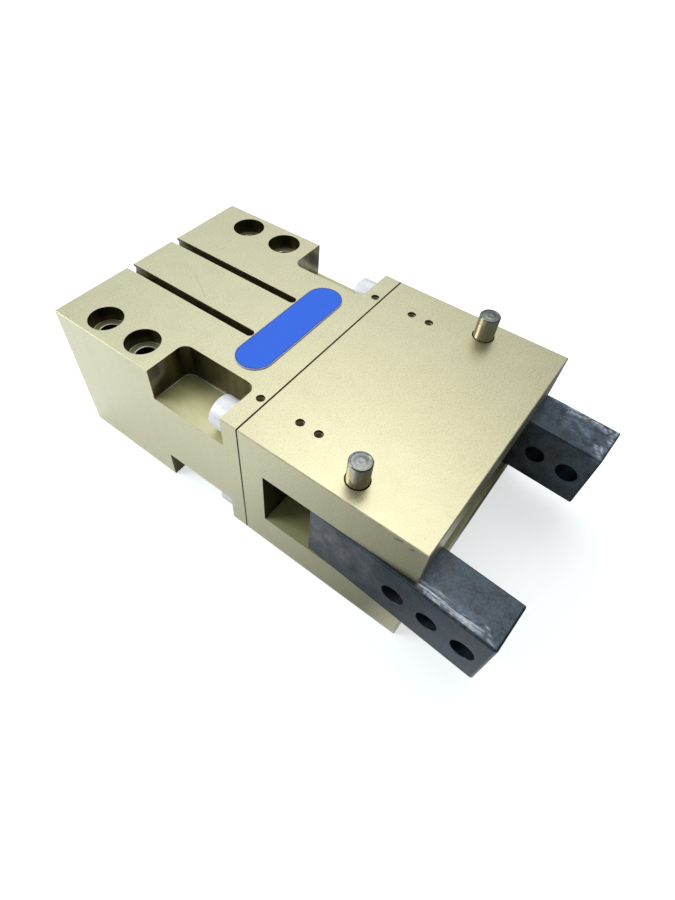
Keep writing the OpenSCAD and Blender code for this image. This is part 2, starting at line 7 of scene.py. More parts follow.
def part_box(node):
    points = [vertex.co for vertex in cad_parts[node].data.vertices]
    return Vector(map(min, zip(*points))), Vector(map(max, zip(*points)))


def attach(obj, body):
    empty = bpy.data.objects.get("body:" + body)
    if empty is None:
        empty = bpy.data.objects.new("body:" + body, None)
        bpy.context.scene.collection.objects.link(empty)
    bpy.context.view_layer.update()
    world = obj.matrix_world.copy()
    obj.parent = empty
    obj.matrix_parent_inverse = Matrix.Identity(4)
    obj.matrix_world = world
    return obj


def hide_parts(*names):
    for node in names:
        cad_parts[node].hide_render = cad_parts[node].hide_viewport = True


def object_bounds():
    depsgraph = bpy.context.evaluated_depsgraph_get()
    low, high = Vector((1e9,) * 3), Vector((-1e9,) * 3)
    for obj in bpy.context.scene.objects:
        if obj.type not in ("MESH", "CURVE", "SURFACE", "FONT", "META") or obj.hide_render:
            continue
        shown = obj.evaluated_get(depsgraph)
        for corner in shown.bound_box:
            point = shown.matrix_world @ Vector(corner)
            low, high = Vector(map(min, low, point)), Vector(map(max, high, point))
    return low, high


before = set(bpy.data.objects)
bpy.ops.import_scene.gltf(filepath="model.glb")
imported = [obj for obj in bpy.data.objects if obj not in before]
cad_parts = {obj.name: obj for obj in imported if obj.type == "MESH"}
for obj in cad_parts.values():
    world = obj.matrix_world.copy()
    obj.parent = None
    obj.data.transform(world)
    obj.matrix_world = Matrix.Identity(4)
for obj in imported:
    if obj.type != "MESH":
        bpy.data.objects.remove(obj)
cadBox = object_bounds()

mm = 0.001
bodyLow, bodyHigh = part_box("cylinder_body")
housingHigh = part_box("jaw_housing")[1]
topZ = bodyHigh.z
sideX = bodyHigh.x
seamY = bodyHigh.y
print("frame loaded")


# Helpers for materials and meshes

def linearColor(code):
    channels = [int(code[i:i + 2], 16) / 255 for i in (1, 3, 5)]
    linear = [c / 12.92 if c <= 0.04045 else ((c + 0.055) / 1.055) ** 2.4 for c in channels]
    return (*linear, 1.0)


def addNode(tree, kind, settings=None, links=None):
    node = tree.nodes.new("ShaderNode" + kind)
    for name, value in (settings or {}).items():
        if name == "stops":  # position and colour of each stop of a ramp
            while len(node.color_ramp.elements) < len(value):
                node.color_ramp.elements.new(0.5)
            for stop, (position, color) in zip(node.color_ramp.elements, value):
                stop.position = position
                stop.color = color if isinstance(color, tuple) else (color, color, color, 1.0)
        elif isinstance(name, int) or name in node.inputs:
            node.inputs[name].default_value = value
        else:
            setattr(node, name, value)
    for name, socket in (links or {}).items():
        tree.links.new(socket, node.inputs[name])
    return node


def newMaterial(name, settings):
    material = bpy.data.materials.new(name)
    material.use_nodes = True
    tree = material.node_tree
    tree.nodes.clear()
    shader = addNode(tree, "BsdfPrincipled", settings)
    addNode(tree, "OutputMaterial", links={"Surface": shader.outputs[0]})
    place = addNode(tree, "TexCoord").outputs["Object"]
    return material, tree, shader, place


def perSize(millimetres):  # pattern scale that repeats about once in that length
    return 1 / (millimetres * mm)


def grainBump(tree, shader, height, strength, depth):
    bump = addNode(tree, "Bump", {"Strength": strength, "Distance": depth * mm}, {"Height": height})
    tree.links.new(bump.outputs[0], shader.inputs["Normal"])


def alongStroke(tree, place, strokes):
    # 1 on the line of a stroke and 0 at its width away; a stroke is (start, end, width, strength) in mm
    total = None
    for start, end, width, strength in strokes:
        along = (Vector(end) - Vector(start)) * mm
        length = max(along.length, 1e-6)
        away = addNode(tree, "VectorMath", {"operation": "SUBTRACT", 1: Vector(start) * mm}, {0: place})
        run = addNode(tree, "VectorMath", {"operation": "DOT_PRODUCT", 1: along / length},
                      {0: away.outputs["Vector"]})
        run = addNode(tree, "MapRange", {"From Max": length, "To Max": length},
                      {"Value": run.outputs["Value"]})
        foot = addNode(tree, "VectorMath", {"operation": "SCALE", 0: along / length},
                       {"Scale": run.outputs[0]})
        off = addNode(tree, "VectorMath", {"operation": "DISTANCE"},
                      {0: away.outputs["Vector"], 1: foot.outputs["Vector"]})
        mask = addNode(tree, "MapRange", {"From Min": width * mm, "From Max": 0.0, "To Max": strength},
                       {"Value": off.outputs["Value"]})
        total = mask if total is None else addNode(tree, "Math", {"operation": "MAXIMUM"},
                                                   {0: total.outputs[0], 1: mask.outputs[0]})
    return total.outputs[0]


def brokenUp(tree, place, mask, sizeMm, stretch, low, high):
    # a mask broken into flecks or streaks by a noise pulled out along the object's axes
    pulled = addNode(tree, "Mapping", {"Scale": stretch}, {"Vector": place})
    noise = addNode(tree, "TexNoise", {"Scale": perSize(sizeMm), "Detail": 4.0},
                    {"Vector": pulled.outputs[0]})
    flecks = addNode(tree, "MapRange", {"From Min": low, "From Max": high}, {"Value": noise.outputs["Fac"]})
    return addNode(tree, "Math", {"operation": "MULTIPLY"}, {0: mask, 1: flecks.outputs[0]}).outputs[0]


def blend(tree, first, second, share):
    return addNode(tree, "Mix", {"data_type": "RGBA"}, {0: share, 6: first, 7: second}).outputs[2]


def ramp(tree, factor, stops):
    stops = [(at, linearColor(code)) for at, code in stops]
    return addNode(tree, "ValToRGB", {"stops": stops}, {"Fac": factor}).outputs[0]


# Anodised aluminium, milled and then bead blasted: a satin olive champagne with a fine matt grain,
# a pale sheen over it, faint drawn streaks and a few marks of handling

anodising = {
    "film": "#D3CD9F", "shade": "#BBB588", "grainMm": 0.5, "fleckMm": 1.1, "mottleMm": 20,
    "roughness": (0.32, 0.46), "metallic": 0.9, "coat": 0.9, "coatRoughness": 0.3, "coatIor": 1.9,
    # a faint tool scratch on the rear land, and nicks by the near front corner
    "scratches": [((0.0, 20.6, 25), (6.0, 30.6, 25), 0.2, 0.6),
                  ((0.2, 21.0, 25), (0.9, 22.2, 25), 0.5, 0.4)],
    "nicks": [((39.9, 122.6, 23.7), (39.9, 124.0, 24.1), 0.7, 1.0),
              ((39.9, 126.4, 23.1), (39.9, 127.1, 23.6), 0.55, 1.0),
              ((39.9, 41.1, 14.2), (39.9, 41.5, 13.6), 0.6, 1.0),
              ((39.9, 117.0, 24.7), (39.9, 118.2, 24.8), 0.3, 0.7),
              ((36.5, 127.8, 25), (36.9, 127.9, 25), 0.22, 0.5),
              ((33.8, 128.4, 25), (34.0, 128.9, 25), 0.2, 0.5)],
}


def anodisedAluminium(name):
    a = anodising
    material, tree, shader, place = newMaterial(name, {
        "Metallic": a["metallic"], "Coat Weight": a["coat"], "Coat Roughness": a["coatRoughness"],
        "Coat IOR": a["coatIor"]})
    grain = addNode(tree, "TexNoise", {"Scale": perSize(a["grainMm"]), "Detail": 2.0}, {"Vector": place})
    fleck = addNode(tree, "TexNoise", {"Scale": perSize(a["fleckMm"]), "Detail": 3.0}, {"Vector": place})
    drawn = addNode(tree, "Mapping", {"Scale": (1.0, 1.0, 0.1)}, {"Vector": place})
    mottle = addNode(tree, "TexNoise", {"Scale": perSize(a["mottleMm"] / 4), "Detail": 5.0},
                     {"Vector": drawn.outputs[0]})
    speckle = addNode(tree, "Math", {"operation": "MULTIPLY_ADD", 1: 0.12},
                      {0: fleck.outputs["Fac"], 2: grain.outputs["Fac"]})
    both = addNode(tree, "Math", {"operation": "MULTIPLY_ADD", 1: 0.22},
                   {0: mottle.outputs["Fac"], 2: speckle.outputs[0]})
    tint = ramp(tree, both.outputs[0], [(0.45, a["shade"]), (0.75, a["film"])])
    marks = alongStroke(tree, place, a["scratches"])
    tint = blend(tree, tint, ramp(tree, grain.outputs["Fac"], [(0.4, "#8F8A68"), (0.6, "#9C9774")]), marks)
    nicks = alongStroke(tree, place, a["nicks"])
    nicks = brokenUp(tree, place, nicks, 0.4, (1.0, 1.0, 1.0), 0.35, 0.5)
    tint = blend(tree, tint, ramp(tree, grain.outputs["Fac"], [(0.4, "#3F3A22"), (0.6, "#5A5433")]), nicks)
    tree.links.new(tint, shader.inputs["Base Color"])
    low, high = a["roughness"]
    satin = addNode(tree, "MapRange", {"From Min": 0.3, "From Max": 0.7, "To Min": low, "To Max": high},
                    {"Value": grain.outputs["Fac"]})
    tree.links.new(satin.outputs[0], shader.inputs["Roughness"])
    grainBump(tree, shader, speckle.outputs[0], 0.2, 0.02)
    return material


# The same film where the cutter's marks show through it: on broken edges, pocket walls and pocket floors,
# with painted light and painted shade in some copies

milled = {
    # broken edges: a lighter copy, partly edge wear and partly a painted highlight
    "edge": {"light": "#D6D2AE", "dark": "#C2BE98", "bandMm": 1.5, "stretch": (1, 1, 1), "metallic": 0.4,
             "roughness": (0.4, 0.5), "coat": 0.3},
    # walls, holes and inside corners: a darker copy, painted shade in the recesses
    "wall": {"light": "#5E5632", "dark": "#42391E", "bandMm": 4.0, "stretch": (1, 1, 0.04), "metallic": 0.85,
             "roughness": (0.28, 0.36), "coat": 0.3},
    # the far pockets' walls take a paler copy of the wall, painted light; the tapped holes' countersinks take
    # it too
    "litWallPaint": {"light": "#A39F82", "dark": "#86815F", "bandMm": 5.0, "stretch": (1, 1, 0.1),
                 "metallic": 0.85, "roughness": (0.26, 0.34), "coat": 0.6},
    "floor": {"light": "#DAD6A0", "dark": "#C8C47C", "bandMm": 6.0, "stretch": (1, 0.5, 1), "metallic": 0.3,
              "roughness": (0.36, 0.44), "coat": 0.8},
    # a near white copy, a painted highlight on thin lines round pocket floors, countersinks and hole lips
    "cut": {"light": "#FFF9DC", "dark": "#F3EBCB", "bandMm": 1.5, "stretch": (1, 1, 1), "metallic": 0.9,
            "roughness": (0.3, 0.38), "coat": 0.6},
    # the faces in the shut gap: a dark copy, painted shade between the blocks
    "gap": {"light": "#6A5F38", "dark": "#4A4226", "bandMm": 1.0, "stretch": (1, 1, 1), "metallic": 0.3,
            "roughness": (0.5, 0.6), "coat": 0.0},
}


def milledAluminium(name, kind):
    k = milled[kind]
    material, tree, shader, place = newMaterial(name, {
        "Metallic": k["metallic"], "Coat Weight": k["coat"], "Coat Roughness": 0.25})
    pulled = addNode(tree, "Mapping", {"Scale": k["stretch"]}, {"Vector": place})
    bands = addNode(tree, "TexNoise", {"Scale": perSize(k["bandMm"]), "Detail": 4.0},
                    {"Vector": pulled.outputs[0]})
    tree.links.new(ramp(tree, bands.outputs["Fac"], [(0.36, k["dark"]), (0.62, k["light"])]),
                   shader.inputs["Base Color"])
    low, high = k["roughness"]
    finish = addNode(tree, "MapRange", {"From Min": 0.3, "From Max": 0.7, "To Min": low, "To Max": high},
                     {"Value": bands.outputs["Fac"]})
    tree.links.new(finish.outputs[0], shader.inputs["Roughness"])
    grainBump(tree, shader, bands.outputs["Fac"], 0.08, 0.02)
    return material


blastedFilm = anodisedAluminium("anodised aluminium, milled and blasted")
brokenEdge = milledAluminium("anodised aluminium, broken edge, worn and painted highlight", "edge")
shadedWallPaint = milledAluminium("anodised aluminium, side milled wall, painted shade", "wall")
milledFloor = milledAluminium("anodised aluminium, end milled floor", "floor")
gapShadePaint = milledAluminium("anodised aluminium, shut gap, painted shade", "gap")
highlightLinePaint = milledAluminium("anodised aluminium, painted highlight line", "cut")
litWallPaint = milledAluminium("anodised aluminium, wall painted lit", "litWallPaint")
anodisedSet = [blastedFilm, brokenEdge, shadedWallPaint, milledFloor, gapShadePaint, highlightLinePaint, litWallPaint]
filmAt, edgeAt, shadedWallAt, floorAt, gapShadeAt, highlightLineAt, litWallAt = range(len(anodisedSet))


# Machined metals: a turned or milled surface with fine cutter rings and a slight change of tone

def machinedMetal(name, light, dark, roughness, grainMm, metallic=1.0, relief=0.08, stretch=(1, 1, 1)):
    material, tree, shader, place = newMaterial(name, {"Metallic": metallic})
    pulled = addNode(tree, "Mapping", {"Scale": stretch}, {"Vector": place})
    grain = addNode(tree, "TexNoise", {"Scale": perSize(grainMm), "Detail": 3.0},
                    {"Vector": pulled.outputs[0]})
    tint = addNode(tree, "ValToRGB", {"stops": [(0.3, linearColor(dark)), (0.7, linearColor(light))]},
                   {"Fac": grain.outputs["Fac"]})
    tree.links.new(tint.outputs[0], shader.inputs["Base Color"])
    low, high = roughness
    finish = addNode(tree, "MapRange", {"From Min": 0.3, "From Max": 0.7, "To Min": low, "To Max": high},
                     {"Value": grain.outputs["Fac"]})
    tree.links.new(finish.outputs[0], shader.inputs["Roughness"])
    grainBump(tree, shader, grain.outputs["Fac"], relief, 0.02)
    return material


zincPlate = machinedMetal("steel, bright zinc plated", "#FDFDFC", "#F0F0EF", (0.48, 0.58), 2.0, 0.4)
groundSteel = machinedMetal("steel, centreless ground", "#D0C9B0", "#B0A98F", (0.2, 0.3), 0.8, 1.0, 0.01,
                            (1, 1, 0.05))
facedSteel = machinedMetal("steel, faced end", "#929590", "#6F726D", (0.24, 0.34), 0.6, 1.0, 0.01)
cutThread = machinedMetal("aluminium, tapped thread", "#E6DDB6", "#B5AB84", (0.35, 0.5), 0.8, 0.4)
turnedAluminium = machinedMetal("aluminium, turned", "#D9D9D6", "#C9C9C6", (0.3, 0.4), 1.0)
blackedScrew = machinedMetal("steel, blacked screw", "#3A3C40", "#2C2E32", (0.4, 0.5), 0.8)
bearingBronze = machinedMetal("bearing bronze, turned and oiled", "#6E5230", "#5A4225", (0.3, 0.42), 0.8)
ferrite = machinedMetal("ferrite magnet, pressed", "#4A4A4E", "#3C3C40", (0.5, 0.65), 0.6, 0.3)
sealRubber = machinedMetal("nitrile rubber, moulded", "#26272A", "#1D1E20", (0.55, 0.7), 0.5, 0.0)
guidePlastic = machinedMetal("filled PTFE, turned", "#6E5A44", "#5F4D3A", (0.5, 0.62), 0.7, 0.0)


# Blackened steel: a dark blue grey with cloudy brown and violet patches, and bright where tools rubbed it

blackening = {
    "light": "#5C6971", "dark": "#353F46", "brown": "#575050", "pale": "#8C9EB2", "worn": "#D5DBE2",
    "cloudMm": 5, "grainMm": 0.7, "stainMm": 7,
}
# scratches and rubbed patches on each jaw: (start, end, width, strength), from the pivot, at rest; the side
# patches are partly rubbed wear and partly a painted sheen that lightens the jaws' sides
jawMarks = {
    "right": {"scratches": [((5.0, 24.5), (5.5, 40.5), 1.5, 1.0), ((3.4, 28.0), (4.9, 38.5), 0.9, 0.55),
                            ((3.2, 41.2), (5.6, 43.6), 0.5, 0.55), ((5.9, 43.0), (6.9, 45.8), 0.5, 0.5)],
              "scuffs": [((6.2, 26.0), (6.4, 40.0), 1.0, 0.6)],
              # in the shared frame
              "sides": [((40.2, 98, 3), (40.5, 112, 3), 13, 0.85), ((41, 112, -2), (42, 124, -2), 9, 0.4)],
              "smudges": [((4.4, 26.0), (5.2, 40.0), 3.2, 0.45), ((2.0, 25.0), (5.0, 25.5), 2.5, 0.3)]},
    "left": {"scratches": [((-6.6, 30.0), (-5.2, 40.0), 1.1, 0.8), ((2.4, 42.2), (6.2, 45.2), 0.6, 0.6),
                           ((2.6, 42.4), (6.4, 44.8), 0.9, 0.8), ((-6.8, 24.5), (-6.4, 27.0), 0.8, 0.7)],
             "scuffs": [((-6.4, 45.0), (-1.0, 45.3), 1.4, 1.0), ((-6.2, 37.5), (-5.4, 43.0), 1.7, 1.0),
                        ((-5.0, 31.0), (-5.6, 37.5), 1.4, 0.7), ((2.0, 44.0), (6.6, 45.2), 0.8, 0.9)],
             "sides": [((-26, 112, 0), (-24, 124, 0), 6, 0.3)],
             "smudges": [((-6.0, 30.5), (-4.0, 42.0), 3.4, 0.9), ((-2.0, 34.0), (3.0, 45.0), 5.0, 0.75),
                         ((-6.0, 45.2), (6.0, 45.2), 2.8, 1.0)]},
}


jawLean = math.radians(3.3)  # both jaws lean the same way at rest


def onJaw(node, marks):
    # from the jaw's own directions to the shared frame at rest, on the jaw's upper face
    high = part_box(node)[1]
    pin = [(a + b) / 2 / mm for a, b in zip(*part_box(node.replace("jaw", "pivot_pin")))]
    turn = Matrix.Rotation(-jawLean, 2)
    strokes = []
    for start, end, width, strength in marks:
        ends = [turn @ Vector(point) for point in (start, end)]
        ends = [(pin[0] + point.x, pin[1] + point.y, high.z / mm) for point in ends]
        strokes.append((*ends, width, strength))
    return strokes


def blackenedSteel(name, marks=None, node=None):
    k = blackening
    material, tree, shader, place = newMaterial(name, {"Metallic": 0.85, "Coat Weight": 0.15,
                                                       "Coat Roughness": 0.3})
    cloud = addNode(tree, "TexNoise", {"Scale": perSize(k["cloudMm"]), "Detail": 6.0, "Roughness": 0.62},
                    {"Vector": place})
    grain = addNode(tree, "TexNoise", {"Scale": perSize(k["grainMm"]), "Detail": 4.0}, {"Vector": place})
    stain = addNode(tree, "TexNoise", {"Scale": perSize(k["stainMm"]), "Detail": 3.0}, {"Vector": place})
    both = addNode(tree, "Math", {"operation": "MULTIPLY_ADD", 1: 0.55},
                   {0: grain.outputs["Fac"], 2: cloud.outputs["Fac"]})
    tint = ramp(tree, both.outputs[0], [(0.58, k["dark"]), (0.98, k["light"])])
    stained = addNode(tree, "MapRange", {"From Min": 0.50, "From Max": 0.72, "To Max": 0.45},
                      {"Value": stain.outputs["Fac"]})
    tint = blend(tree, tint, ramp(tree, grain.outputs["Fac"], [(0.35, "#3D3A3A"), (0.65, k["brown"])]),
                 stained.outputs[0])
    if marks:
        # the side patches: mottled rubbed wear and a painted sheen, lighter where the sides catch the light
        rubbed = alongStroke(tree, place, marks["sides"])
        rubbed = brokenUp(tree, place, rubbed, 4.0, (1.0, 1.0, 1.0), 0.30, 0.62)
        tone = ramp(tree, grain.outputs["Fac"], [(0.3, "#86848A"), (0.7, "#9A9AA0")])
        tint = blend(tree, tint, tone, rubbed)
        smudge = alongStroke(tree, place, onJaw(node, marks["smudges"]))
        smudge = brokenUp(tree, place, smudge, 2.2, (1.0, 0.7, 1.0), 0.38, 0.62)
        tone = ramp(tree, grain.outputs["Fac"], [(0.3, "#6E7A86"), (0.7, k["pale"])])
        tint = blend(tree, tint, tone, smudge)
        scratch = alongStroke(tree, place, onJaw(node, marks["scratches"]))
        scratch = brokenUp(tree, place, scratch, 0.55, (1.0, 0.07, 1.0), 0.47, 0.6)
        scuff = alongStroke(tree, place, onJaw(node, marks["scuffs"]))
        scuff = brokenUp(tree, place, scuff, 1.1, (1.0, 1.0, 1.0), 0.44, 0.56)
        scratch = addNode(tree, "Math", {"operation": "MAXIMUM"}, {0: scratch, 1: scuff}).outputs[0]
        tone = ramp(tree, grain.outputs["Fac"], [(0.3, "#AEB6C0"), (0.7, k["worn"])])
        tint = blend(tree, tint, tone, scratch)
    tree.links.new(tint, shader.inputs["Base Color"])
    finish = addNode(tree, "MapRange", {"From Min": 0.3, "From Max": 0.7, "To Min": 0.34, "To Max": 0.5},
                     {"Value": cloud.outputs["Fac"]})
    tree.links.new(finish.outputs[0], shader.inputs["Roughness"])
    grainBump(tree, shader, grain.outputs["Fac"], 0.2, 0.02)
    return material


rightBlacked = blackenedSteel("steel, blackened right jaw", jawMarks["right"], "right_jaw")
leftBlacked = blackenedSteel("steel, blackened left jaw", jawMarks["left"], "left_jaw")
blackedCrosshead = blackenedSteel("steel, blackened crosshead")
blackedEdge = machinedMetal("steel, blackened and rubbed edge", "#6C757C", "#566068", (0.3, 0.4), 1.0)


# Label: a printed foil, smooth and saturated, with a thin pale border and a dark line inside it, painted
# shade

foilBlue = machinedMetal("polyester foil, blue print", "#006FFF", "#0068FA", (0.42, 0.5), 4, 0.0)
foilShade = machinedMetal("polyester foil, painted shade line", "#1C3E96", "#183788", (0.4, 0.5), 2, 0.0)
foilBorder = machinedMetal("polyester foil, pale border", "#C9CCE8", "#BABEDD", (0.3, 0.4), 2, 0.0)
print("materials made")


# Meshes

def finishPiece(bm, name, materials, body, slot, *nodes):
    bmesh.ops.recalc_face_normals(bm, faces=bm.faces)
    mesh = bpy.data.meshes.new(name)
    bm.to_mesh(mesh)
    bm.free()
    for material in materials:
        mesh.materials.append(material)
    mesh.shade_smooth()
    mesh.set_sharp_from_angle(angle=math.radians(38))
    piece = bpy.data.objects.new(name, mesh)
    bpy.context.scene.collection.objects.link(piece)
    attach(piece, body)
    if nodes:
        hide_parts(*nodes)
    return piece


# The machined pieces keep their solids' shape, with each edge broken as a maker does after milling
edgeBreak = {"weldMm": 0.001, "flatDegrees": 0.6, "sharpDegrees": 32, "filletMm": 0.2,
             # a bright line painted as a highlight round a pocket's floor, and on the lip of a screw hole
             "lineX": 25, "lineMm": 0.4, "lineDip": 0.12, "lipR": 3.3, "lipMm": 0.34,
             # the tapped holes for a cover, which have a wider countersink round their mouths
             "tappedX": 27.8, "tappedR": 1.25, "tappedMm": 0.36}


mountHoles = [(x, y) for x in (-32.5, 32.5) for y in (15.05, 31.35)]
# how near a plane a face has to lie, and where the far pockets are
faceRules = {"onPlaneMm": 0.01, "edgeMm": 0.3, "sinkMm": 0.6, "farX": 25.1, "farY": (40, 70), "farZ": 13}


def anodisedFace(face):
    # which of the anodised set a face of the two blocks takes, by where it lies
    center, normal = face.calc_center_median(), face.normal
    near = [min(abs(center.x - sideX), abs(center.x + sideX)),
            min(abs(center.y), abs(center.y - housingHigh.y)),
            min(abs(center.z - topZ), abs(center.z + topZ))]
    rules = faceRules
    if any(gap < rules["onPlaneMm"] * mm and abs(part) > 0.99 for gap, part in zip(near, normal)):
        return filmAt
    edgeGap = rules["edgeMm"] * mm
    if abs(center.y - seamY) < edgeGap and min(near[0], near[2]) < edgeGap:
        return gapShadeAt
    if sum(gap < edgeGap for gap in near) > 1:
        return edgeAt
    if near[2] < rules["sinkMm"] * mm and 0.2 < abs(normal.z) < 0.98:
        return highlightLineAt  # the countersink of a hole from above, with the painted highlight copy
    if abs(normal.z) > 0.9:
        return floorAt
    lowY, highY = rules["farY"]
    inFarPocket = (center.x < -rules["farX"] * mm and lowY * mm < center.y < highY * mm
                   and abs(center.z) > rules["farZ"] * mm)
    return litWallAt if inFarPocket else shadedWallAt


def overCover(edge):
    mouth = edge.verts[0].co
    across = abs(abs(mouth.x) - edgeBreak["tappedX"] * mm)
    onTop = all(abs(v.co.z - topZ) < faceRules["onPlaneMm"] * mm for v in edge.verts)
    return (onTop and across < 1.1 * edgeBreak["tappedR"] * mm
            and edge.calc_length() < 0.5 * edgeBreak["tappedR"] * mm)


def inCounterbore(edge):
    # the lip of the narrower hole, on the shoulder of a counterbore
    return all(bodyLow.z + mm < v.co.z < topZ - mm and abs(v.co.x) > edgeBreak["lineX"] * mm
               and min((v.co.xy - Vector(center) * mm).length for center in mountHoles)
               < (edgeBreak["lipR"] + 0.1) * mm for v in edge.verts)


def brokenEdgeCopy(node, name, widthMm, materials, body, slot, kindOf=None):
    bm = bmesh.new()
    bm.from_mesh(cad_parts[node].data)
    bmesh.ops.remove_doubles(bm, verts=bm.verts, dist=edgeBreak["weldMm"] * mm)
    bmesh.ops.dissolve_limit(bm, angle_limit=math.radians(edgeBreak["flatDegrees"]), verts=bm.verts,
                             edges=bm.edges)
    bmesh.ops.recalc_face_normals(bm, faces=bm.faces)
    for item in bm.faces:
        item.material_index = kindOf(item) if kindOf else 0
    limit = math.radians(edgeBreak["sharpDegrees"])
    sharp = [e for e in bm.edges if len(e.link_faces) == 2 and e.calc_face_angle(0) > limit]
    tapped, corner, lips = [], [], []
    if kindOf:
        tapped = [e for e in sharp if overCover(e)]
        corner = [e for e in sharp if not e.is_convex]
        lips = [e for e in sharp if e.is_convex and inCounterbore(e)]
    apart = set(tapped + corner + lips)
    rest = [e for e in sharp if e not in apart]
    # each set of edges has its own width and its own place in the list of materials
    # tapped countersinks take the paler painted-light copy, inside corners the painted shade, hole lips the
    # painted highlight
    for edges, width, kind in ((tapped, edgeBreak["tappedMm"], litWallAt),
                               (corner, edgeBreak["filletMm"], shadedWallAt),
                               (lips, edgeBreak["lipMm"], highlightLineAt), (rest, widthMm, edgeAt)):
        edges = [e for e in edges if e.is_valid]
        if not edges:
            continue
        made = bmesh.ops.bevel(bm, geom=edges, offset=width * mm, offset_type="OFFSET", segments=2,
                               profile=0.5, affect="EDGES", clamp_overlap=True, material=-1)
        for item in made["faces"]:
            # a seam or a shut gap is painted dark right to its lips, as shade
            item.material_index = gapShadeAt if kindOf and anodisedFace(item) == gapShadeAt else kind
    # a thin ring round each pocket floor takes the painted highlight copy
    if node == "cylinder_body":
        floors = [f for f in bm.faces if f.material_index == floorAt and abs(f.normal.z) > 0.99
                  and abs(f.calc_center_median().x) > edgeBreak["lineX"] * mm]
        line = bmesh.ops.inset_region(bm, faces=floors, thickness=edgeBreak["lineMm"] * mm,
                                      depth=-edgeBreak["lineDip"] * mm, use_even_offset=True)
        for item in line["faces"]:  # none along the open side
            atSide = sideX - abs(item.calc_center_median().x) < edgeBreak["lineMm"] * mm
            item.material_index = floorAt if atSide else highlightLineAt
    piece = finishPiece(bm, name, materials, body, slot, node)
    flat = piece.modifiers.new("flat faces", "WEIGHTED_NORMAL")
    flat.keep_sharp = True
    return piece


cylinderBody = brokenEdgeCopy("cylinder_body", "cylinderBody", 0.16, anodisedSet, "housing", "anodised_body",
                              anodisedFace)
jawHousing = brokenEdgeCopy("jaw_housing", "jawHousing", 0.16, anodisedSet, "housing", "anodised_body",
                            anodisedFace)
rightJaw = brokenEdgeCopy("right_jaw", "rightJaw", 0.2, [rightBlacked, blackedEdge], "right_lever",
                          "black_steel")
leftJaw = brokenEdgeCopy("left_jaw", "leftJaw", 0.2, [leftBlacked, blackedEdge], "left_lever", "black_steel")
crossheadPiece = brokenEdgeCopy("crosshead", "crossheadPiece", 0.15, [blackedCrosshead, blackedEdge], "drive",
                                "black_steel")
print("machined pieces made")


# Housing screws: cheese heads with a rounded rim and a hexagon socket, on M6 shanks
housingScrew = {"headR": 5.0, "headH": 6.0, "rimR": 0.55, "key": 5.0, "keyDepth": 3.0, "shankR": 3.0,
                "endChamfer": 0.8, "steps": 48}


def spunProfile(bm, points, steps):
    # points are (radius, height) pairs; the profile is turned about Z
    corners = [bm.verts.new((radius, 0, height)) for radius, height in points]
    edges = [bm.edges.new(pair) for pair in zip(corners, corners[1:])]
    bmesh.ops.spin(bm, geom=corners + edges, cent=(0, 0, 0), axis=(0, 0, 1), angle=math.tau,
                   steps=steps, use_merge=True)
    bmesh.ops.remove_doubles(bm, verts=bm.verts, dist=1e-7)


def roundedRim(radius, height, rim, count=4):
    # points from the side up and over onto the end, round a quarter circle
    angles = [i * math.pi / 2 / count for i in range(count + 1)]
    return [(radius - rim + rim * math.cos(a), height - rim + rim * math.sin(a)) for a in angles]


def screwMesh(shankLength):
    s = housingScrew
    bm = bmesh.new()
    end = -shankLength / mm
    profile = [(0, end), (s["shankR"] - s["endChamfer"], end), (s["shankR"], end + s["endChamfer"]),
               (s["shankR"], 0), (s["headR"] - 0.25, 0), (s["headR"], 0.25)]
    profile += roundedRim(s["headR"], s["headH"], s["rimR"])
    profile += [(s["headR"] - s["rimR"] - 0.7, s["headH"])]
    spunProfile(bm, [(r * mm, h * mm) for r, h in profile], s["steps"])
    rimLoop = [e for e in bm.edges if e.is_boundary]
    corner = s["key"] / 2 / math.cos(math.pi / 6) * mm
    before = set(bm.edges)
    socket = bmesh.ops.create_circle(bm, cap_ends=False, segments=6, radius=corner,
                                     matrix=Matrix.Translation((0, 0, s["headH"] * mm)))
    sideEdges = [e for e in bm.edges if e not in before]
    bmesh.ops.subdivide_edges(bm, edges=sideEdges, cuts=s["steps"] // 6 - 1)
    socketLoop = [e for e in bm.edges if e not in before]
    bmesh.ops.bridge_loops(bm, edges=rimLoop + socketLoop)
    walls = bmesh.ops.extrude_edge_only(bm, edges=socketLoop)["geom"]
    lower = [v for v in walls if isinstance(v, bmesh.types.BMVert)]
    bmesh.ops.translate(bm, verts=lower, vec=(0, 0, -s["keyDepth"] * mm))
    floorEdges = [e for e in walls if isinstance(e, bmesh.types.BMEdge)]
    bmesh.ops.contextual_create(bm, geom=floorEdges)
    return bm


def makeHousingScrews():
    s = housingScrew
    low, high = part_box("housing_screws")
    headX, headZ = high.x - s["headR"] * mm, high.z - s["headR"] * mm
    seatY = low.y + s["headH"] * mm
    single = screwMesh(high.y - seatY)
    bmesh.ops.rotate(single, verts=single.verts, cent=(0, 0, 0), matrix=Matrix.Rotation(math.pi / 2, 3, "X"))
    mesh = bpy.data.meshes.new("oneScrew")
    single.to_mesh(mesh)
    single.free()
    bm = bmesh.new()
    for x in (-headX, headX):
        for z in (-headZ, headZ):
            start = len(bm.verts)
            bm.from_mesh(mesh)
            bm.verts.ensure_lookup_table()
            bmesh.ops.translate(bm, verts=bm.verts[start:], vec=(x, seatY, z))
    bpy.data.meshes.remove(mesh)
    return finishPiece(bm, "housingScrews", [zincPlate], "housing", "zinc_steel", "housing_screws")


makeHousingScrews()


# Pivot pins: ground steel, chamfered, with a shallow turned dish in the end
pivotPin = {"chamfer": 0.3, "rim": 0.3, "dish": 0.12, "ring": 1.35, "point": 0.35, "steps": 64,
            # small steps that round the way from the chamfer into the dish, and the depth of the end's finish
            "ease": 0.1, "lap": 0.12, "crown": 0.03, "faced": 0.3}


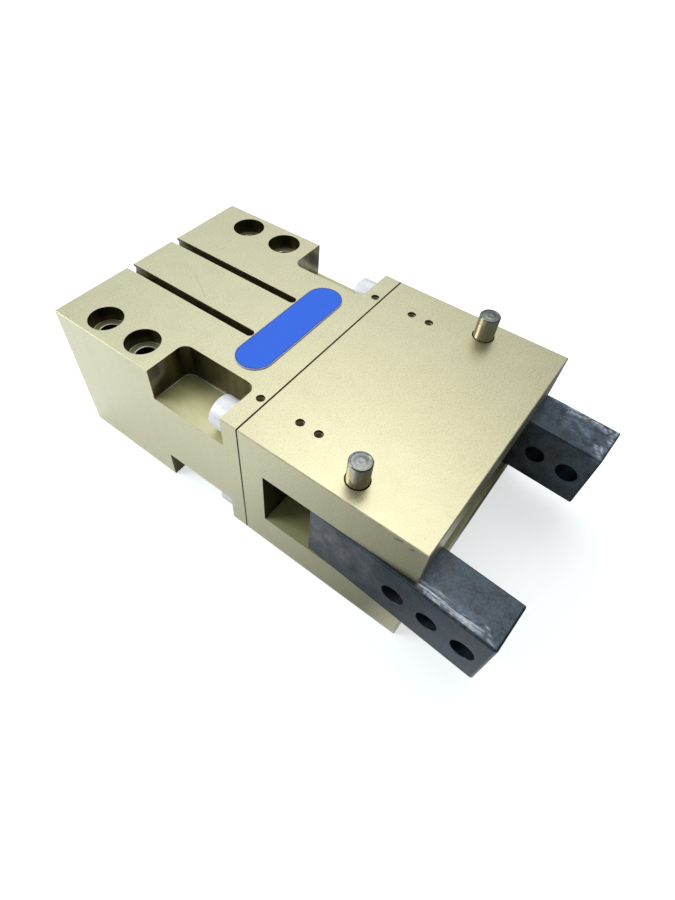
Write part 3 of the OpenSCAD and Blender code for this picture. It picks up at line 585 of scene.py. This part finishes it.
def makePivotPin(node, name, body):
    low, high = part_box(node)
    p = pivotPin
    radius, length = (high.x - low.x) / 2 / mm, (high.z - low.z) / mm
    shoulder = radius - p["chamfer"] * 0.75
    lip = shoulder - p["rim"]
    profile = [(0, 0), (radius - p["chamfer"], 0), (radius, p["chamfer"]), (radius, length - p["chamfer"]),
               (radius - p["ease"], length - p["chamfer"] * 0.45), (shoulder, length - p["crown"]),
               (shoulder - p["lap"], length), (lip, length), (lip - p["lap"], length - p["dish"]),
               (p["ring"] + p["ease"], length - p["dish"]), (p["ring"], length - p["dish"] * 0.7),
               (p["point"], length - p["dish"] * 0.9),
               (0, length - p["dish"] * 1.6)]
    bm = bmesh.new()
    spunProfile(bm, [(r * mm, h * mm) for r, h in profile], p["steps"])
    centre = ((low.x + high.x) / 2, (low.y + high.y) / 2, low.z)
    bmesh.ops.translate(bm, verts=bm.verts, vec=centre)
    for face in bm.faces:
        face.material_index = int(face.calc_center_median().z > high.z - p["faced"] * mm)
    return finishPiece(bm, name, [groundSteel, facedSteel], body, "bright_steel", node)


makePivotPin("right_pivot_pin", "rightPivotPin", "right_lever")
makePivotPin("left_pivot_pin", "leftPivotPin", "left_lever")


# Label: a thin foil pill with a pale border round its blue field, and a dark line inside the border painted
# as the shade of the foil's edge
label = {"border": 0.15, "line": 0.3, "edge": 0.06, "segments": 96}


def makeLabel():
    low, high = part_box("label_plate")
    radius = (high.y - low.y) / 2
    straight = (high.x - low.x) / 2 - radius
    bm = bmesh.new()
    turn = Matrix.Rotation(math.pi / label["segments"], 4, "Z")
    bmesh.ops.create_circle(bm, cap_ends=True, segments=label["segments"], radius=radius, matrix=turn)
    for corner in bm.verts:
        corner.co.x += math.copysign(straight, corner.co.x)
    raised = bmesh.ops.extrude_face_region(bm, geom=list(bm.faces))["geom"]
    bmesh.ops.translate(bm, verts=[v for v in raised if isinstance(v, bmesh.types.BMVert)],
                        vec=(0, 0, high.z - low.z))
    top = [f for f in raised if isinstance(f, bmesh.types.BMFace)]
    rim = [e for e in bm.edges if all(v.co.z > 0.5 * (high.z - low.z) for v in e.verts)]
    bmesh.ops.bevel(bm, geom=rim, offset=label["edge"] * mm, offset_type="OFFSET", segments=2,
                    profile=0.5, affect="EDGES", clamp_overlap=True, material=-1)
    for face in bm.faces:
        face.material_index = 1
    field = max(bm.faces, key=lambda f: (round(f.calc_center_median().z, 7), f.calc_area()))
    bmesh.ops.inset_region(bm, faces=[field], thickness=label["border"] * mm)
    field.material_index = 2
    bmesh.ops.inset_region(bm, faces=[field], thickness=label["line"] * mm)
    field.material_index = 0
    bmesh.ops.translate(bm, verts=bm.verts, vec=((low.x + high.x) / 2, (low.y + high.y) / 2, low.z))
    return finishPiece(bm, "labelFoil", [foilBlue, foilBorder, foilShade], "housing", "label_foil",
                       "label_plate")


makeLabel()


# Threads in the tapped holes, cut as one turning ridge down each wall
threads = {"ridgeShare": 0.3, "stepsPerTurn": 24, "wallGap": 0.01}


def threadSleeve(radius, pitch, depth):
    # one ridge turning down a wall, from the mouth at the origin towards -Z
    t = threads
    wall = radius - t["wallGap"] * mm
    ridge = wall - pitch * t["ridgeShare"]
    turns = int(depth / pitch) - 1
    bm = bmesh.new()
    points = [(wall, 0), (ridge, pitch * 0.4), (ridge, pitch * 0.6), (wall, pitch)]
    corners = [bm.verts.new((r, 0, -h - pitch)) for r, h in points]
    edges = [bm.edges.new(pair) for pair in zip(corners, corners[1:])]
    bmesh.ops.spin(bm, geom=corners + edges, cent=(0, 0, 0), axis=(0, 0, 1), angle=-math.tau * turns,
                   steps=t["stepsPerTurn"] * turns, dvec=(0, 0, -pitch / t["stepsPerTurn"]), use_merge=False)
    mesh = bpy.data.meshes.new("oneSleeve")
    bm.to_mesh(mesh)
    bm.free()
    return mesh


def makeThreads():
    # rows of holes as (places, direction outward, radius, pitch, depth), in mm
    covers = [(x, y, topZ / mm) for x in (-27.8, 27.8) for y in (72.4, 85.8, 91.8)]
    rear = [(x, 0, z) for x in (-22, 22) for z in (-18.5, 18.5)]
    ports = [(x, 0, 0) for x in (-29, 29)]
    bm = bmesh.new()
    for places, direction, radius, pitch, depth in ((covers, (0, 0, 1), 1.25, 0.5, 6),
                                                    (rear, (0, -1, 0), 2.5, 1.0, 12),
                                                    (ports, (0, -1, 0), 4.35, 0.907, 8.5)):
        sleeve = threadSleeve(radius * mm, pitch * mm, depth * mm)
        turn = Vector((0, 0, 1)).rotation_difference(Vector(direction)).to_matrix().to_4x4()
        for place in places:
            start = len(bm.verts)
            bm.from_mesh(sleeve)
            bm.verts.ensure_lookup_table()
            bmesh.ops.transform(bm, verts=bm.verts[start:],
                                matrix=Matrix.Translation(Vector(place) * mm) @ turn)
        bpy.data.meshes.remove(sleeve)
    return finishPiece(bm, "threads", [cutThread], "housing", "anodised_body")


makeThreads()
print("threads cut")


# Everything else keeps its solid and gets its finish
finishes = {
    "locating_dowels": groundSteel, "rod_gland": turnedAluminium, "gland_o_ring": sealRubber,
    "rod_guide_bush": bearingBronze, "rod_seal": sealRubber, "rod_wiper": sealRubber,
    "pivot_bushes": bearingBronze, "piston": turnedAluminium, "piston_rod": groundSteel,
    "piston_seals": sealRubber, "piston_guide_ring": guidePlastic, "piston_magnet": ferrite,
    "piston_nut": zincPlate, "neck_o_ring": sealRubber, "crosshead_screw": blackedScrew,
    "drive_pins": groundSteel, "right_lock_screw": blackedScrew, "left_lock_screw": blackedScrew,
}
for node, material in finishes.items():
    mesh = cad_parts[node].data
    mesh.materials.clear()
    mesh.materials.append(material)
for node in ("cylinder_body", "jaw_housing", "right_jaw", "left_jaw", "crosshead", "housing_screws",
             "right_pivot_pin", "left_pivot_pin", "label_plate"):
    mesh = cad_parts[node].data
    mesh.materials.clear()
    mesh.materials.append(blastedFilm)
print("finishes given")


# Floor, studio and camera

studio = {
    "paper": "#F6F8FB", "floorHalf": 4.0, "tint": "#F2F7FF", "glowTint": "#FBFFFE",
    "floorGlow": {"seen": 0.62, "reflected": 0.27},
    # to the metal the paper gets duller towards the front, where the gripper keeps the light off it, but it
    # stays pale round the near jaw
    "dull": {"tone": "#8E9092", "from": 0.06, "to": 0.135, "paleAt": (0.03, 0.16, 0), "paleR": (0.03, 0.046)},
    # the bright part of the sky: its direction, and its strength against the angle from it in degrees
    "skyFrom": (-0.40, -0.42, 0.81), "skyStrength": 1.55,
    "skyShare": [(180, 0.05), (90, 0.08), (50, 0.18), (36, 0.34), (28, 0.52), (22, 0.70), (16, 0.86),
                 (10, 0.97), (0, 1.0)],
    "horizon": [(-90, 1.0), (3, 1.0), (16, 0.0)],  # strength against elevation, in degrees
    "horizonFrom": (-0.2, -0.98, 0), "horizonShare": [(180, 0.32), (110, 0.26), (60, 0.8), (0, 1.0)],
    "lamps": {"softbox": {"place": (-0.38, -0.02, 0.98), "aim": (0, 0.07, 0), "size": 0.55, "power": 1.45,
                          "color": (1.0, 0.97, 0.94)},
              "rearFill": {"place": (0.34, -0.42, 0.34), "aim": (0.06, -0.03, -0.025), "size": 0.34,
                           "power": 2.2, "color": (0.93, 0.965, 1.0)}},
}


def shareByAngle(tree, direction, axis, profile):
    # strength against the angle from an axis, in degrees, looked up over the dot product
    toward = addNode(tree, "VectorMath", {"operation": "DOT_PRODUCT", 1: Vector(axis).normalized()},
                     {0: direction})
    place = addNode(tree, "MapRange", {"From Min": -1.0, "From Max": 1.0}, {"Value": toward.outputs["Value"]})
    stops = [((math.cos(math.radians(angle)) + 1) / 2, value) for angle, value in profile]
    return addNode(tree, "ValToRGB", {"stops": stops}, {"Fac": place.outputs[0]})


def greater(tree, first, second):
    return addNode(tree, "Math", {"operation": "MAXIMUM"}, {0: first, 1: second}).outputs[0]


def makeFloor():
    bm = bmesh.new()
    bmesh.ops.create_grid(bm, x_segments=2, y_segments=2, size=studio["floorHalf"])
    bmesh.ops.translate(bm, verts=bm.verts, vec=(0, 0, cadBox[0].z))
    mesh = bpy.data.meshes.new("floor")
    bm.to_mesh(mesh)
    bm.free()
    floor = bpy.data.objects.new("floor", mesh)
    bpy.context.scene.collection.objects.link(floor)
    material = bpy.data.materials.new("paper floor")
    material.use_nodes = True
    tree = material.node_tree
    tree.nodes.clear()
    place = addNode(tree, "TexCoord").outputs["Object"]
    dull = studio["dull"]
    alongY = addNode(tree, "SeparateXYZ", links={0: place}).outputs["Y"]
    run = addNode(tree, "MapRange", {"From Min": dull["from"], "From Max": dull["to"], "To Min": 1.0,
                                     "To Max": 0.0}, {"Value": alongY})
    level = addNode(tree, "VectorMath", {"operation": "MULTIPLY", 1: (1, 1, 0)}, {0: place})
    away = addNode(tree, "VectorMath", {"operation": "DISTANCE", 1: dull["paleAt"]}, {0: level.outputs[0]})
    inner, outer = dull["paleR"]
    outside = addNode(tree, "MapRange", {"From Min": outer, "From Max": inner},
                      {"Value": away.outputs["Value"]})
    pale = greater(tree, run.outputs[0], outside.outputs[0])
    ray = addNode(tree, "LightPath")
    tone = ramp(tree, greater(tree, ray.outputs["Is Camera Ray"], pale),
                [(0.0, dull["tone"]), (1.0, studio["paper"])])
    paper = addNode(tree, "BsdfDiffuse", links={"Color": tone})
    direct = greater(tree, ray.outputs["Is Camera Ray"], ray.outputs["Is Transmission Ray"])
    glowShare = studio["floorGlow"]
    shown, mirrored = [addNode(tree, "Math", {"operation": "MULTIPLY", 1: glowShare[way]}, {0: share})
                       for way, share in (("seen", direct), ("reflected", pale))]
    lift = addNode(tree, "Math", {"operation": "MULTIPLY_ADD"},
                   {0: ray.outputs["Is Glossy Ray"], 1: mirrored.outputs[0], 2: shown.outputs[0]})
    glow = addNode(tree, "Emission", {"Color": linearColor(studio["glowTint"])},
                   {"Strength": lift.outputs[0]})
    both = addNode(tree, "AddShader", links={0: paper.outputs[0], 1: glow.outputs[0]})
    addNode(tree, "OutputMaterial", links={"Surface": both.outputs[0]})
    mesh.materials.append(material)


def makeStudio():
    world = bpy.data.worlds.new("studio")
    bpy.context.scene.world = world
    world.use_nodes = True
    tree = world.node_tree
    tree.nodes.clear()
    direction = addNode(tree, "TexCoord").outputs["Generated"]
    brightness = shareByAngle(tree, direction, studio["skyFrom"], studio["skyShare"])
    height = addNode(tree, "SeparateXYZ", links={0: direction})
    level = addNode(tree, "MapRange", {"From Min": -1.0, "From Max": 1.0}, {"Value": height.outputs["Z"]})
    bandStops = [((math.sin(math.radians(angle)) + 1) / 2, value) for angle, value in studio["horizon"]]
    band = addNode(tree, "ValToRGB", {"stops": bandStops}, {"Fac": level.outputs[0]})
    sky = addNode(tree, "Math", {"operation": "MULTIPLY", 1: studio["skyStrength"]},
                  {0: brightness.outputs[0]})
    share = shareByAngle(tree, direction, studio["horizonFrom"], studio["horizonShare"])
    band = addNode(tree, "Math", {"operation": "MULTIPLY"}, {0: band.outputs[0], 1: share.outputs[0]})
    strength = greater(tree, sky.outputs[0], band.outputs[0])
    light = addNode(tree, "Background", {"Color": linearColor(studio["tint"])}, {"Strength": strength})
    # straight to the eye the surroundings are white
    ray = addNode(tree, "LightPath")
    direct = greater(tree, ray.outputs["Is Camera Ray"], ray.outputs["Is Transmission Ray"])
    white = addNode(tree, "Background", {"Color": linearColor("#FFFFFF"), "Strength": 1.0})
    shown = addNode(tree, "MixShader", links={0: direct, 1: light.outputs[0], 2: white.outputs[0]})
    addNode(tree, "OutputWorld", links={"Surface": shown.outputs[0]})
    for name, lamp in studio["lamps"].items():
        data = bpy.data.lights.new(name, "AREA")
        data.shape = "SQUARE"
        data.size = lamp["size"]
        data.energy = lamp["power"]
        data.color = lamp["color"]
        softbox = bpy.data.objects.new(name, data)
        softbox.location = lamp["place"]
        softbox.rotation_euler = (Vector(lamp["aim"]) - softbox.location).to_track_quat("-Z", "Y").to_euler()
        bpy.context.scene.collection.objects.link(softbox)


cameraSetup = {"place": (0.0991, 0.1391, 0.1316), "turn": (37.50, -0.89, 128.31), "lens": 21.57,
               "shift": (0.0446, -0.0059), "sensor": 36, "nearest": 0.005}


def makeCamera():
    data = bpy.data.cameras.new("camera")
    data.lens = cameraSetup["lens"]
    data.sensor_width = cameraSetup["sensor"]
    data.shift_x, data.shift_y = cameraSetup["shift"]
    data.clip_start = cameraSetup["nearest"]
    camera = bpy.data.objects.new("camera", data)
    camera.location = cameraSetup["place"]
    camera.rotation_euler = [math.radians(a) for a in cameraSetup["turn"]]
    bpy.context.scene.collection.objects.link(camera)
    bpy.context.scene.camera = camera


makeFloor()
makeStudio()
makeCamera()
bpy.context.scene.view_settings.view_transform = "Standard"
print("studio and camera set")
